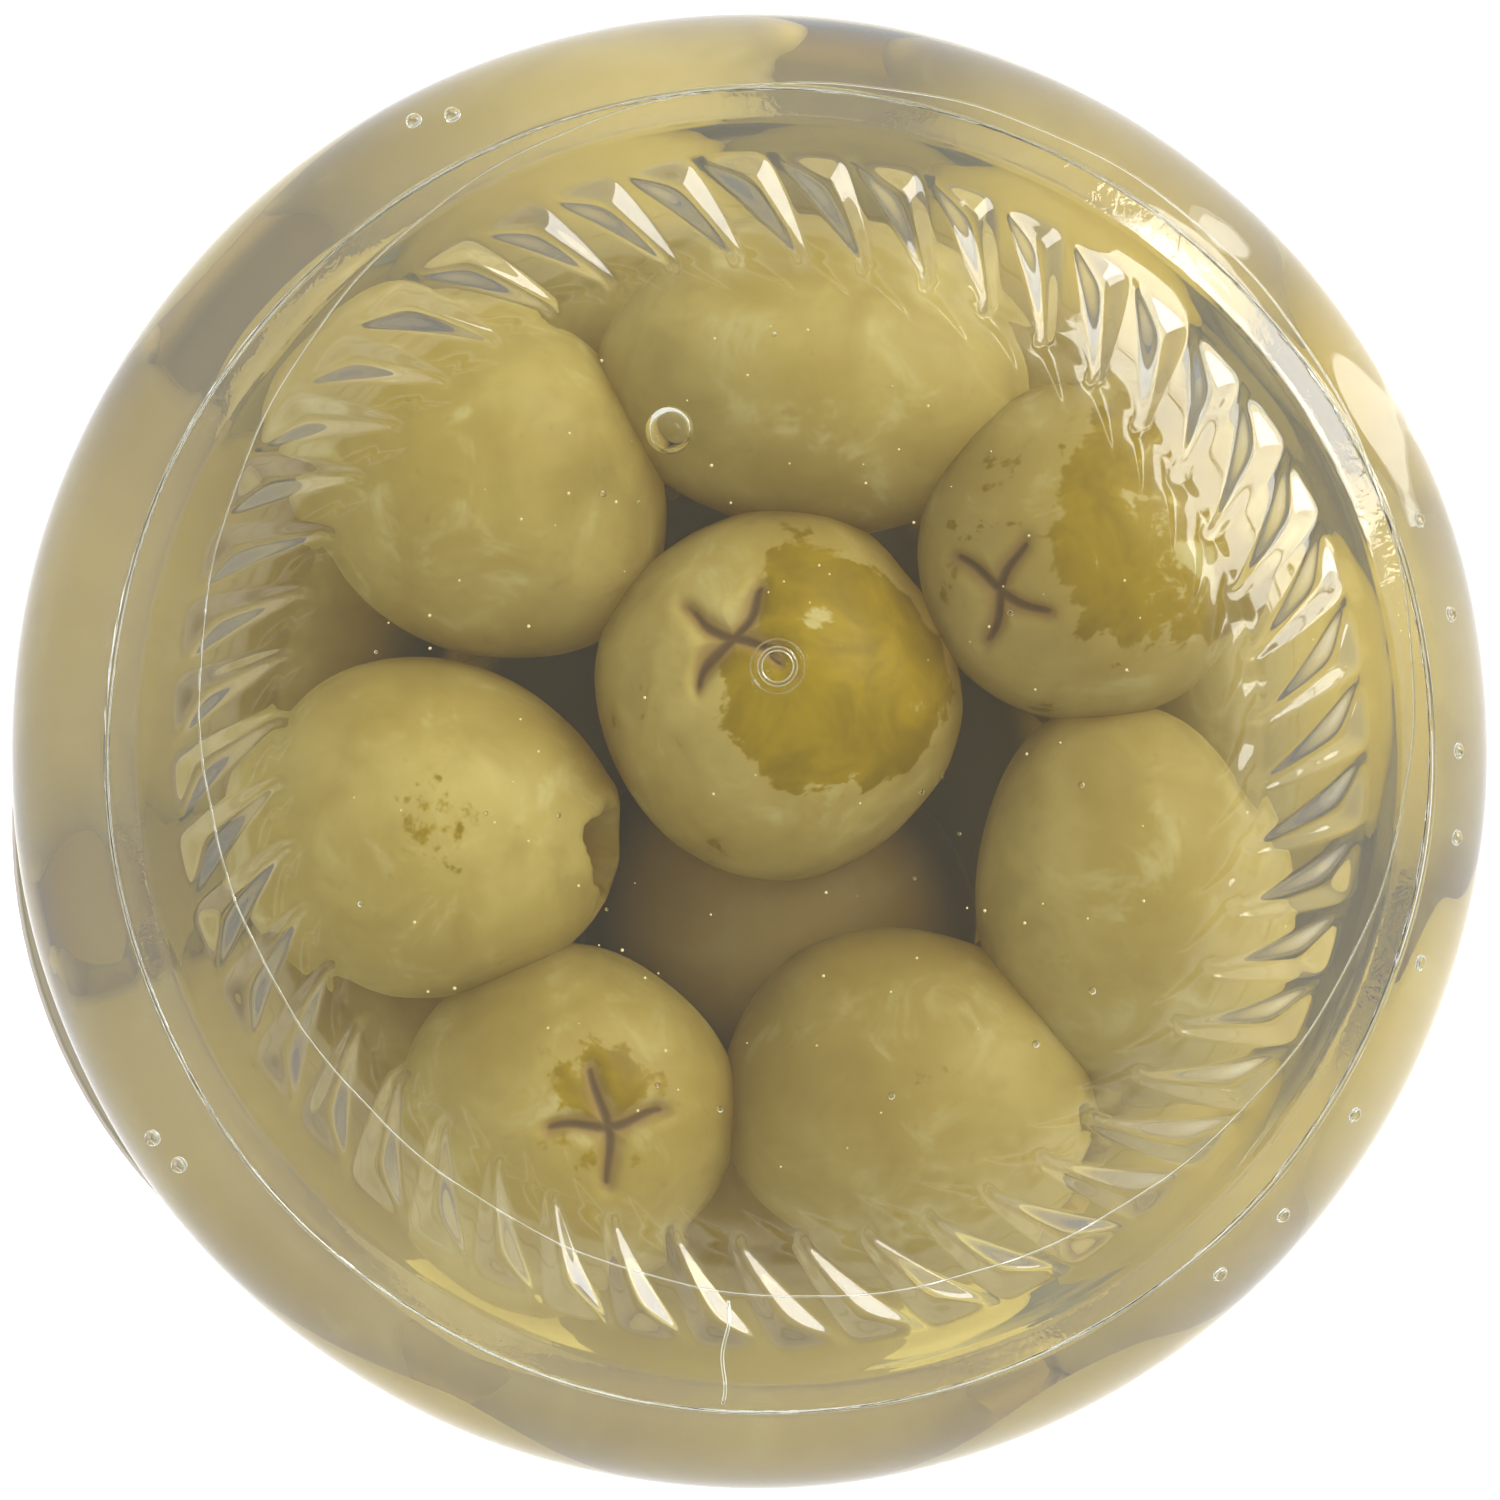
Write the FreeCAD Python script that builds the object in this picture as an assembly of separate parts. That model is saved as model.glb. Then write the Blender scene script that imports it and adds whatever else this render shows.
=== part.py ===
import FreeCAD, Part
import math
import os

# Twist-off glass jar of olives in brine, standing upright on its base.
# Millimetres, +Z up. The origin is the centre of the base, in the plane that the knurls stand on.

# ---- Glass: body, heel and base ----
BODY_RADIUS = 36.0
BODY_WALL = 2.6
GLASS_TOP = 127.0         # height of the rim
HEEL_TOP = 9.0            # the straight side starts here
HEEL_WIDTH = 3.8          # from the side in to the match line of the bottom plate
PLATE_EDGE_HEIGHT = 1.85  # height of that line above the resting plane
PLATE_BAND = 1.5          # width of the sloping band just inside the match line
PLATE_BAND_RISE = 0.9
PUSH_UP = 3.2             # the middle of the base is pushed up by this
BASE_THICKNESS = 4.0      # glass at the middle of the base
INNER_DOME = 1.0          # rise of the inside floor from its trough to the middle
INNER_CORNER = 11.4       # radius between the inside floor and the inside wall

# ---- Glass: knurls that the jar stands on ----
KNURL_COUNT = 48
KNURL_SETBACK = 3.8       # from the match line in to the broad ends of the knurls
KNURL_LENGTH = 3.7
KNURL_HEIGHT = 0.5
KNURL_LEAN = 4.0          # degrees from the inner tip to the near outer corner
KNURL_SPREAD = 4.7        # degrees between the two outer corners
KNURL_HOLLOW = 0.35       # how far the long flank is hollowed
KNURL_ROOT = 0.4          # how deep each knurl runs into the base
LAND_MARGIN = 0.1         # the level land reaches past the broad ends by this
LAND_INNER_MARGIN = 0.4   # and past the tips by this

# ---- Glass: shoulder, neck and finish ----
SHOULDER_WIDTH = 5.0      # from the side in to the neck
SHOULDER_RADIUS = 14.0
NECK_FILLET = 4.0
NECK_STRAIGHT = 1.95      # straight neck between the shoulder and the bead
BEAD_DROP = 14.6          # from the rim down to the underside of the bead
BEAD_DEPTH = 1.4
BEAD_HEIGHT = 2.4
BEAD_SLOPE = 0.8
FINISH_SETBACK = 1.3      # the finish is narrower than the neck by this
FINISH_WALL = 2.3
MOUTH_FILLET = 6.0
RIM_ROUND = 0.6
THREAD_DEPTH = 1.4
THREAD_COUNT = 4
THREAD_ARC = 52.0         # degrees that each thread lug runs
THREAD_DROP = 7.6         # from the rim down to the underside of the lugs
THREAD_HEIGHT = 1.8
THREAD_ROOT = 0.5         # how deep each lug runs into the finish

# ---- Lid ----
SHEET = 0.4
SKIRT_CLEARANCE = 1.7     # between the thread and the inside of the skirt
SKIRT_DROP = 9.1          # from the rim down to the middle of the curl
SKIRT_CORNER = 1.3
CURL_RADIUS = 0.65
PANEL_CLEARANCE = 1.8     # the sunk panel is smaller than the mouth by this
PANEL_DROP = 0.9
PANEL_SLOPE = 1.0
BUTTON_RADIUS = 9.0
BUTTON_RISE = 0.35
LUG_ARC = 15.0            # degrees
LUG_HEIGHT = 1.2
LUG_GAP = 0.3             # clearance under the thread
LUG_BORE_GAP = 0.5        # clearance around the finish

# ---- Sealing ring ----
GASKET_HEIGHT = 0.7
GASKET_OVERHANG = 0.2     # it reaches in past the mouth by this
GASKET_EDGE_GAP = 1.0     # clearance to the inside of the skirt

# ---- Brine ----
HEADSPACE = 12.0          # from the rim down to the brine
BRINE_GAP = 0.1           # clearance to the inside of the glass

# ---- Label ----
LABEL_BOTTOM = 27.0
LABEL_HEIGHT = 57.0
LABEL_THICKNESS = 0.15
LABEL_GAP = 0.1
LABEL_SPAN = 259.0        # degrees of the side that it covers, centred on -Y
LABEL_LOOSE_SPAN = 37.0   # degrees at its end that have lifted off the glass
LABEL_LIFT = 0.73
FRONT = 270.0             # degrees, the direction that the label faces

# ---- Worked out from the sizes above ----
INNER_RADIUS = BODY_RADIUS - BODY_WALL
PLATE_RADIUS = BODY_RADIUS - HEEL_WIDTH
KNURL_OUTER = PLATE_RADIUS - KNURL_SETBACK
KNURL_INNER = KNURL_OUTER - KNURL_LENGTH
NECK_RADIUS = BODY_RADIUS - SHOULDER_WIDTH
FINISH_RADIUS = NECK_RADIUS - FINISH_SETBACK
MOUTH_RADIUS = FINISH_RADIUS - FINISH_WALL
THREAD_RADIUS = FINISH_RADIUS + THREAD_DEPTH
BEAD_RADIUS = NECK_RADIUS + BEAD_DEPTH
BEAD_BOTTOM = GLASS_TOP - BEAD_DROP
THREAD_BOTTOM = GLASS_TOP - THREAD_DROP
BRINE_LEVEL = GLASS_TOP - HEADSPACE
SKIRT_INSIDE = THREAD_RADIUS + SKIRT_CLEARANCE
SKIRT_RADIUS = SKIRT_INSIDE + SHEET
SKIRT_BOTTOM = GLASS_TOP - SKIRT_DROP
LID_CEILING = GLASS_TOP + GASKET_HEIGHT
PANEL_RADIUS = MOUTH_RADIUS - PANEL_CLEARANCE

UP = FreeCAD.Vector(0, 0, 1)
CENTRE = FreeCAD.Vector(0, 0, 0)


def section(radius, height):
    """A point of a section through the axis."""
    return FreeCAD.Vector(radius, 0, height)


def around(radius, degrees, height=0.0):
    """A point at a radius and an angle about the axis."""
    angle = math.radians(degrees)
    return FreeCAD.Vector(radius * math.cos(angle), radius * math.sin(angle), height)


def line(start, end):
    return Part.LineSegment(start, end).toShape()


def arc_about(centre, radius, start_degrees, end_degrees):
    """An arc of a section, about a centre, from one angle to another."""
    points = []
    for share in (0.0, 0.5, 1.0):
        angle = math.radians(start_degrees + share * (end_degrees - start_degrees))
        offset = FreeCAD.Vector(radius * math.cos(angle), 0, radius * math.sin(angle))
        points.append(centre + offset)
    return Part.Arc(*points).toShape()


def joined(edges):
    """The edges in order, with straight lines where one ends away from the next."""
    whole = []
    for edge in edges:
        if whole:
            last = whole[-1].lastVertex(True).Point
            first = edge.firstVertex(True).Point
            if last.distanceToPoint(first) > 1e-6:
                whole.append(line(last, first))
        whole.append(edge)
    end = whole[-1].lastVertex(True).Point
    start = whole[0].firstVertex(True).Point
    if end.distanceToPoint(start) > 1e-6:
        whole.append(line(end, start))
    return Part.Wire(whole)


def turned(edges):
    """The solid that a closed section sweeps about the axis."""
    return Part.Face(joined(edges)).revolve(CENTRE, UP, 360)


def dome(radius, edge_height, rise):
    """An arc from the axis outwards, level at the axis, that falls by rise."""
    ball = (radius**2 + rise**2) / (2 * rise)
    middle = section(0, edge_height + rise - ball)
    edge_angle = math.degrees(math.acos(radius / ball))
    return arc_about(middle, ball, 90, edge_angle)


def shoulder_bend(body_radius, corner, neck_radius, fillet):
    """Degrees that the shoulder turns inwards before its fillet turns it back."""
    reach = neck_radius + fillet - (body_radius - corner)
    return math.degrees(math.acos(reach / (corner + fillet)))


def shoulder_start():
    """Height where the straight side ends, so that the outer shoulder meets the neck in place."""
    bend = shoulder_bend(BODY_RADIUS, SHOULDER_RADIUS, NECK_RADIUS, NECK_FILLET)
    rise = (SHOULDER_RADIUS + NECK_FILLET) * math.sin(math.radians(bend))
    return BEAD_BOTTOM - NECK_STRAIGHT - rise


def shoulder(body_radius, corner, neck_radius, fillet):
    """The two arcs between the straight side and the neck, from the side up."""
    bend = shoulder_bend(body_radius, corner, neck_radius, fillet)
    rise = (corner + fillet) * math.sin(math.radians(bend))
    corner_middle = section(body_radius - corner, shoulder_start())
    fillet_middle = section(neck_radius + fillet, shoulder_start() + rise)
    return [
        arc_about(corner_middle, corner, 0, bend),
        arc_about(fillet_middle, fillet, 180 + bend, 180),
    ]


def outside_of_glass():
    """Outer section, from the middle of the base to the rim."""
    land = KNURL_HEIGHT
    land_start = KNURL_INNER - LAND_INNER_MARGIN
    land_end = KNURL_OUTER + LAND_MARGIN
    band_foot = section(PLATE_RADIUS - PLATE_BAND, PLATE_EDGE_HEIGHT - PLATE_BAND_RISE)
    edge = section(PLATE_RADIUS, PLATE_EDGE_HEIGHT)
    heel_width = BODY_RADIUS - PLATE_RADIUS
    heel_height = HEEL_TOP - PLATE_EDGE_HEIGHT
    heel = (heel_width**2 + heel_height**2) / (2 * heel_width)
    heel_middle = section(BODY_RADIUS - heel, HEEL_TOP)
    heel_start = -math.degrees(math.asin(heel_height / heel))
    side_and_neck = shoulder(BODY_RADIUS, SHOULDER_RADIUS, NECK_RADIUS, NECK_FILLET)
    rim_height = GLASS_TOP - RIM_ROUND
    return [
        dome(land_start, land, PUSH_UP - land),
        line(section(land_start, land), section(land_end, land)),
        line(section(land_end, land), band_foot),
        line(band_foot, edge),
        arc_about(heel_middle, heel, heel_start, 0),
        *side_and_neck,
        line(section(NECK_RADIUS, BEAD_BOTTOM), section(BEAD_RADIUS, BEAD_BOTTOM + BEAD_SLOPE)),
        line(
            section(BEAD_RADIUS, BEAD_BOTTOM + BEAD_HEIGHT),
            section(FINISH_RADIUS, BEAD_BOTTOM + BEAD_HEIGHT + BEAD_SLOPE),
        ),
        arc_about(section(FINISH_RADIUS - RIM_ROUND, rim_height), RIM_ROUND, 0, 90),
    ]


def inside_floor_and_wall(gap):
    """Inner section from the middle of the floor to the neck, set in from the glass by gap."""
    trough_radius = INNER_RADIUS - INNER_CORNER
    trough_height = PUSH_UP + BASE_THICKNESS - INNER_DOME + gap
    corner = INNER_CORNER - gap
    corner_middle = section(trough_radius, trough_height + corner)
    upper = shoulder(
        INNER_RADIUS - gap,
        SHOULDER_RADIUS - BODY_WALL - gap,
        MOUTH_RADIUS - gap,
        MOUTH_FILLET + gap,
    )
    return [
        dome(trough_radius, trough_height, INNER_DOME),
        arc_about(corner_middle, corner, -90, 0),
        *upper,
    ]


def knurl():
    """One slanted fin of the base: a point inwards, a broad end outwards and a flat foot."""
    tip = around(KNURL_INNER, 0)
    near = around(KNURL_OUTER, -KNURL_LEAN)
    middle = around(KNURL_OUTER, -KNURL_LEAN - KNURL_SPREAD / 2)
    far = around(KNURL_OUTER, -KNURL_LEAN - KNURL_SPREAD)
    inward = (near - far).normalize()
    hollow = (far + tip) * 0.5 + inward * KNURL_HOLLOW
    foot = Part.Wire([
        line(tip, near),
        Part.Arc(near, middle, far).toShape(),
        Part.Arc(far, hollow, tip).toShape(),
    ])
    return Part.Face(foot).extrude(UP * (KNURL_HEIGHT + KNURL_ROOT))


def ring_segment(inner, outer, bottom, height, start, degrees):
    """A block of a ring about the axis."""
    edges = [
        line(section(inner, bottom), section(outer, bottom)),
        line(section(outer, bottom + height), section(inner, bottom + height)),
    ]
    block = Part.Face(joined(edges)).revolve(CENTRE, UP, degrees)
    block.rotate(CENTRE, UP, start)
    return block


def ring(inner, outer, bottom, height):
    outer_solid = Part.makeCylinder(outer, height, section(0, bottom))
    return outer_solid.cut(Part.makeCylinder(inner, height, section(0, bottom)))


def cavity():
    """What the glass surrounds, up to the rim, with the rounded inner edge of the rim."""
    rim_height = GLASS_TOP - RIM_ROUND
    lip = arc_about(section(MOUTH_RADIUS + RIM_ROUND, rim_height), RIM_ROUND, 180, 90)
    top = line(section(MOUTH_RADIUS + RIM_ROUND, GLASS_TOP), section(0, GLASS_TOP))
    return turned(inside_floor_and_wall(0.0) + [lip, top])


def jar_glass():
    body = turned(outside_of_glass() + [line(section(0, GLASS_TOP), section(0, PUSH_UP))])
    added = []
    for index in range(KNURL_COUNT):
        fin = knurl()
        fin.rotate(CENTRE, UP, index * 360 / KNURL_COUNT)
        added.append(fin)
    for index in range(THREAD_COUNT):
        start = index * 360 / THREAD_COUNT
        added.append(
            ring_segment(
                FINISH_RADIUS - THREAD_ROOT, THREAD_RADIUS, THREAD_BOTTOM, THREAD_HEIGHT, start, THREAD_ARC
            )
        )
    return body.multiFuse(added).cut(cavity()).removeSplitter()


def brine():
    level = BRINE_LEVEL
    surface = line(section(MOUTH_RADIUS - BRINE_GAP, level), section(0, level))
    return turned(inside_floor_and_wall(BRINE_GAP) + [surface])


def gasket():
    bore = MOUTH_RADIUS - GASKET_OVERHANG
    return ring(bore, SKIRT_INSIDE - GASKET_EDGE_GAP, GLASS_TOP, GASKET_HEIGHT)


def lid():
    ceiling = LID_CEILING
    floor = ceiling - PANEL_DROP
    step = PANEL_RADIUS + PANEL_SLOPE
    corner_middle = section(SKIRT_RADIUS - SKIRT_CORNER, ceiling + SHEET - SKIRT_CORNER)
    top = [
        line(section(0, floor + SHEET + BUTTON_RISE), section(BUTTON_RADIUS, floor + SHEET + BUTTON_RISE)),
        line(section(BUTTON_RADIUS + PANEL_SLOPE, floor + SHEET), section(PANEL_RADIUS, floor + SHEET)),
        line(section(step, ceiling + SHEET), section(corner_middle.x, ceiling + SHEET)),
        arc_about(corner_middle, SKIRT_CORNER, 90, 0),
        line(section(SKIRT_RADIUS, SKIRT_BOTTOM), section(SKIRT_INSIDE, SKIRT_BOTTOM)),
    ]
    underside = [
        arc_about(corner_middle, SKIRT_CORNER - SHEET, 0, 90),
        line(section(corner_middle.x, ceiling), section(step + SHEET / 2, ceiling)),
        line(section(PANEL_RADIUS + SHEET / 2, floor), section(BUTTON_RADIUS + PANEL_SLOPE, floor)),
        line(section(BUTTON_RADIUS, floor + BUTTON_RISE), section(0, floor + BUTTON_RISE)),
    ]
    shell = turned(top + underside)
    curl = Part.makeTorus(SKIRT_RADIUS - CURL_RADIUS / 2, CURL_RADIUS, section(0, SKIRT_BOTTOM))
    lug_inside = FINISH_RADIUS + LUG_BORE_GAP
    lug_bottom = THREAD_BOTTOM - LUG_GAP - LUG_HEIGHT
    lugs = []
    for index in range(THREAD_COUNT):
        start = index * 360 / THREAD_COUNT + (THREAD_ARC - LUG_ARC) / 2
        lugs.append(
            ring_segment(lug_inside, SKIRT_INSIDE + SHEET / 2, lug_bottom, LUG_HEIGHT, start, LUG_ARC)
        )
    return shell.multiFuse([curl] + lugs).removeSplitter()


def label():
    """A paper wrap with a gap at the back, lifted off the glass along its far end."""
    inside = BODY_RADIUS + LABEL_GAP
    outside = inside + LABEL_THICKNESS
    loose_end = FRONT - LABEL_SPAN / 2
    loose_start = loose_end + LABEL_LOOSE_SPAN
    crest = (loose_end + loose_start) / 2
    far_end = FRONT + LABEL_SPAN / 2
    outline = []
    for radius in (inside, outside):
        outline.append([
            Part.Arc(
                around(radius, loose_end), around(radius + LABEL_LIFT, crest), around(radius, loose_start)
            ).toShape(),
            Part.Arc(
                around(radius, loose_start), around(radius, FRONT), around(radius, far_end)
            ).toShape(),
        ])
    ends = [
        line(around(inside, loose_end), around(outside, loose_end)),
        line(around(inside, far_end), around(outside, far_end)),
    ]
    edges = Part.__sortEdges__(outline[0] + outline[1] + ends)
    sheet = Part.Face(Part.Wire(edges)).extrude(UP * LABEL_HEIGHT)
    sheet.translate(UP * LABEL_BOTTOM)
    return sheet


PIECES = {
    "jar_glass": jar_glass,
    "brine": brine,
    "gasket": gasket,
    "lid": lid,
    "label": label,
}

os.makedirs("parts", exist_ok=True)
for name, make in PIECES.items():
    shape = make()
    solids = shape.Solids
    print(name, len(solids), "solid", shape.isValid(), round(shape.Volume, 1), shape.BoundBox)
    shape.exportStep(f"parts/{name}.step")
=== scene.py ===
import math

import bmesh
import bpy
import numpy as np
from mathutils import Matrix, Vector


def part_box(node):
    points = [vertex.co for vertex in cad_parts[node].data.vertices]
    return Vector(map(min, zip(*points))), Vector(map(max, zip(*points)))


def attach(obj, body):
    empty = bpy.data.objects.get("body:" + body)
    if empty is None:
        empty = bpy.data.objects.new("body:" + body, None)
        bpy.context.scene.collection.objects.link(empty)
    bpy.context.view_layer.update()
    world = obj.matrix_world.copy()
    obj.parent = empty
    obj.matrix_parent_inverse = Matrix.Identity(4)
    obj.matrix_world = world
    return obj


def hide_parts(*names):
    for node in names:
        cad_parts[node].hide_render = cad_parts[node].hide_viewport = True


# A glass jar of olives in brine. Sizes are in millimetres until a mesh is made; the scene is in metres.
# The jar stands on its knurls at height 0. Seen from below, +X is to the right and +Y is down.

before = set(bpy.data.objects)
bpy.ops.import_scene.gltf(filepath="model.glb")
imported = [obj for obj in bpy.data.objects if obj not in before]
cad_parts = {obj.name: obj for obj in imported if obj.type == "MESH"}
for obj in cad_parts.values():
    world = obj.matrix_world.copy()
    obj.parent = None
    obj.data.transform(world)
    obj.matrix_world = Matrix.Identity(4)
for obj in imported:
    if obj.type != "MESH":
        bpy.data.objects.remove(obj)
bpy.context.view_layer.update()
MM = 0.001


def corners(node):
    """Lowest and highest corner of a CAD node, in millimetres."""
    low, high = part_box(node)
    return np.array(low) / MM, np.array(high) / MM


# ---- sizes
BODY_RADIUS = corners("jar_glass")[1][0]
GLASS_TOP = corners("jar_glass")[1][2]
BRINE_LEVEL = corners("brine")[1][2]
LABEL_BOTTOM = corners("label")[0][2]
LABEL_TOP = corners("label")[1][2]

BODY_WALL = 2.6
HEEL_TOP = 9.0
HEEL_WIDTH = 3.8
PLATE_EDGE_HEIGHT = 1.85
PUSH_UP = 3.2
FLOOR_THICKNESS = 4.0
INNER_DOME = 1.0
INNER_CORNER = 11.4
KNURL_COUNT = 48
KNURL_OUTER = 28.4
KNURL_INNER = 24.7
KNURL_DEPTH = 0.62   # from a knurl's foot to the valley beside it
SHOULDER_START = 98.0
SHOULDER_RADIUS = 14.0
NECK_FILLET = 4.0
MOUTH_FILLET = 6.0
NECK_RADIUS = BODY_RADIUS - 5.0
FINISH_RADIUS = NECK_RADIUS - 1.3
MOUTH_RADIUS = FINISH_RADIUS - 2.3
INNER_RADIUS = BODY_RADIUS - BODY_WALL
PLATE_RADIUS = BODY_RADIUS - HEEL_WIDTH
PLATE_CENTRE = np.array([1.0, 0.0])      # the bottom plate sits this far off the axis
PIP_CENTRE = np.array([1.4, -4.1])
INTO_WALL = 0.12   # how far the brine reaches into the glass
NECK_BEAD = 112.4   # height of the foot of the bead under the lid
THREAD_LOW = 119.0
THREAD_HIGH = 122.2
ROUND = 144   # points of a plain ring of the outside
INNER_ROUND = 160   # points of a ring of the inside, and of the brine


# ---- node trees
def plug(tree, value, socket):
    if isinstance(value, Socket):
        tree.links.new(value.output, socket)
    else:
        socket.default_value = value


class Socket:
    """A node's output; Python's operators on it add Math nodes."""

    def __init__(self, tree, output):
        self.tree = tree
        self.output = output

    def math(self, operation, *values):
        node = self.tree.nodes.new("ShaderNodeMath")
        node.operation = operation
        for socket, value in zip(node.inputs, values):
            plug(self.tree, value, socket)
        return Socket(self.tree, node.outputs[0])

    def __add__(self, other):
        return self.math("ADD", self, other)

    def __sub__(self, other):
        return self.math("SUBTRACT", self, other)

    def __rsub__(self, other):
        return self.math("SUBTRACT", other, self)

    def __mul__(self, other):
        return self.math("MULTIPLY", self, other)

    def __truediv__(self, other):
        return self.math("DIVIDE", self, other)

    __radd__ = __add__
    __rmul__ = __mul__

    def power(self, other):
        return self.math("POWER", self, other)

    def absolute(self):
        return self.math("ABSOLUTE", self)


class Tree:
    """Makes nodes in a material's or a world's node tree."""

    def __init__(self, owner):
        owner.use_nodes = True
        self.tree = owner.node_tree
        self.tree.nodes.clear()

    def node(self, kind, settings=None, inputs=None, output=0):
        node = self.tree.nodes.new("ShaderNode" + kind)
        for name, value in (settings or {}).items():
            if name == "stops":
                set_stops(node.color_ramp, value)
            else:
                setattr(node, name, value)
        for name, value in (inputs or {}).items():
            plug(self.tree, value, node.inputs[name])
        return Socket(self.tree, node.outputs[output])

    def mix(self, share, first, second, blend="MIX"):
        """Two colours mixed, by a share of the second."""
        node = self.tree.nodes.new("ShaderNodeMix")
        node.data_type = "RGBA"
        node.blend_type = blend
        plug(self.tree, share, node.inputs[0])
        plug(self.tree, first, node.inputs[6])
        plug(self.tree, second, node.inputs[7])
        return Socket(self.tree, node.outputs[2])

    def noise(self, where, scale, detail=2.0, roughness=0.5, distortion=0.0):
        inputs = {
            "Vector": where, "Scale": scale, "Detail": detail,
            "Roughness": roughness, "Distortion": distortion,
        }
        return self.node("TexNoise", inputs=inputs)

    def step(self, value, low, high):
        """0 below low, 1 above high, smooth between."""
        settings = {"interpolation_type": "SMOOTHSTEP"}
        return self.node("MapRange", settings, {"Value": value, "From Min": low, "From Max": high})

    def blend(self, share, first, second):
        """Two shaders mixed, by a share of the second."""
        node = self.tree.nodes.new("ShaderNodeMixShader")
        for socket, value in zip(node.inputs, (share, first, second)):
            plug(self.tree, value, socket)
        return Socket(self.tree, node.outputs[0])

    def both(self, first, second):
        """Two shaders added."""
        node = self.tree.nodes.new("ShaderNodeAddShader")
        for socket, value in zip(node.inputs, (first, second)):
            plug(self.tree, value, socket)
        return Socket(self.tree, node.outputs[0])

    def place(self):
        return self.node("TexCoord", output="Object")

    def part(self, vector, axis):
        """One of the three numbers of a vector."""
        return self.node("SeparateXYZ", inputs={"Vector": vector}, output=axis)

    def attribute(self, name):
        return self.node("Attribute", {"attribute_name": name}, output="Fac")

    def bump(self, height, strength, distance):
        return self.node("Bump", inputs={"Height": height, "Strength": strength, "Distance": distance})

    def surface(self, shader, volume=None):
        out = self.tree.nodes.new("ShaderNodeOutputMaterial")
        self.tree.links.new(shader.output, out.inputs["Surface"])
        if volume:
            self.tree.links.new(volume.output, out.inputs["Volume"])


def set_stops(ramp, stops):
    while len(ramp.elements) > 1:
        ramp.elements.remove(ramp.elements[-1])
    for index, (position, colour) in enumerate(stops):
        element = ramp.elements[0] if index == 0 else ramp.elements.new(position)
        element.position = position
        element.color = (*colour, 1.0)


def material(name):
    made = bpy.data.materials.new(name)
    return made, Tree(made)


def colour(red, green, blue):
    """A colour given as it shows on a screen, 0 to 255, in Blender's linear light."""
    def linear(value):
        share = value / 255
        return share / 12.92 if share <= 0.04045 else ((share + 0.055) / 1.055) ** 2.4
    return (linear(red), linear(green), linear(blue), 1.0)


# ---- shapes
def waves(points, length, seed, count=10):
    """A smooth random field with about that wavelength and a spread of about 1."""
    random = np.random.default_rng(seed)
    total = np.zeros(len(points))
    for _ in range(count):
        way = random.normal(size=points.shape[1])
        way *= random.uniform(0.6, 1.5) / (length * np.linalg.norm(way))
        total += np.sin(2 * math.pi * (points @ way) + random.uniform(0, 2 * math.pi))
    return total * math.sqrt(2 / count)


def smooth_step(low, high, value):
    share = np.clip((value - low) / (high - low), 0, 1)
    return share * share * (3 - 2 * share)


def arc(centre_radius, centre_height, radius, start, end, count):
    """Points of a round stretch of a section, as (radius, height) rows."""
    angles = np.radians(np.linspace(start, end, count))
    return np.column_stack([
        centre_radius + radius * np.cos(angles), centre_height + radius * np.sin(angles)
    ])


def stretch(start, end, count):
    """Points of a straight stretch of a section, without its end."""
    return np.linspace(start, end, count, endpoint=False)


def new_mesh(name, points, faces):
    mesh = bpy.data.meshes.new(name)
    mesh.from_pydata(np.asarray(points) * MM, [], faces)
    mesh.validate()
    made = bmesh.new()
    made.from_mesh(mesh)
    bmesh.ops.recalc_face_normals(made, faces=made.faces)
    made.to_mesh(mesh)
    made.free()
    mesh.polygons.foreach_set("use_smooth", [True] * len(mesh.polygons))
    mesh.update()
    piece = bpy.data.objects.new(name, mesh)
    bpy.context.scene.collection.objects.link(piece)
    return piece


def skin(name, rings):
    """A closed skin over rings of points, each of the same number as the last, or twice or half of it."""
    points, starts = [], []
    total = 0
    for ring in rings:
        starts.append(total)
        points.append(ring)
        total += len(ring)
    faces = []
    for a, b, start_a, start_b in zip(rings, rings[1:], starts, starts[1:]):
        flip = len(b) > len(a)
        coarse, fine = (a, b) if flip else (b, a)
        first, second = (start_a, start_b) if flip else (start_b, start_a)
        n = len(coarse)
        here = np.arange(n)
        there = (here + 1) % n
        if len(fine) == n:
            quads = np.column_stack([first + here, first + there, second + there, second + here])
            faces += quads.tolist()
            continue
        even, odd, after = second + 2 * here, second + 2 * here + 1, second + 2 * there
        faces += np.column_stack([first + here, even, odd]).tolist()
        faces += np.column_stack([first + here, odd, first + there]).tolist()
        faces += np.column_stack([first + there, odd, after]).tolist()
    for ring, start in ((rings[0], starts[0]), (rings[-1], starts[-1])):
        points.append(ring.mean(axis=0)[None])
        n = len(ring)
        faces += [(start + i, start + (i + 1) % n, total) for i in range(n)]
        total += 1
    return new_mesh(name, np.concatenate(points), faces)


def ring_points(radius, height, count, turn=0.0, centre=(0.0, 0.0)):
    angles = 2 * math.pi * np.arange(count) / count + turn
    return np.column_stack([
        centre[0] + radius * np.cos(angles),
        centre[1] + radius * np.sin(angles),
        np.full(count, float(height)),
    ])


# ---- glass
def shoulder_points(body, corner, neck, fillet, count):
    bend = math.acos((neck + fillet - (body - corner)) / (corner + fillet))
    rise = (corner + fillet) * math.sin(bend)
    lower = arc(body - corner, SHOULDER_START, corner, 0, math.degrees(bend), count)
    upper = arc(neck + fillet, SHOULDER_START + rise, fillet, 180 + math.degrees(bend), 180, count)
    return np.concatenate([lower, upper[1:]])


def dome_height(radius, edge_radius, edge_height, rise):
    """Height of a shallow dome, level at the axis."""
    ball = (edge_radius**2 + rise**2) / (2 * rise)
    return edge_height + rise - ball + np.sqrt(ball**2 - radius**2)


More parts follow.
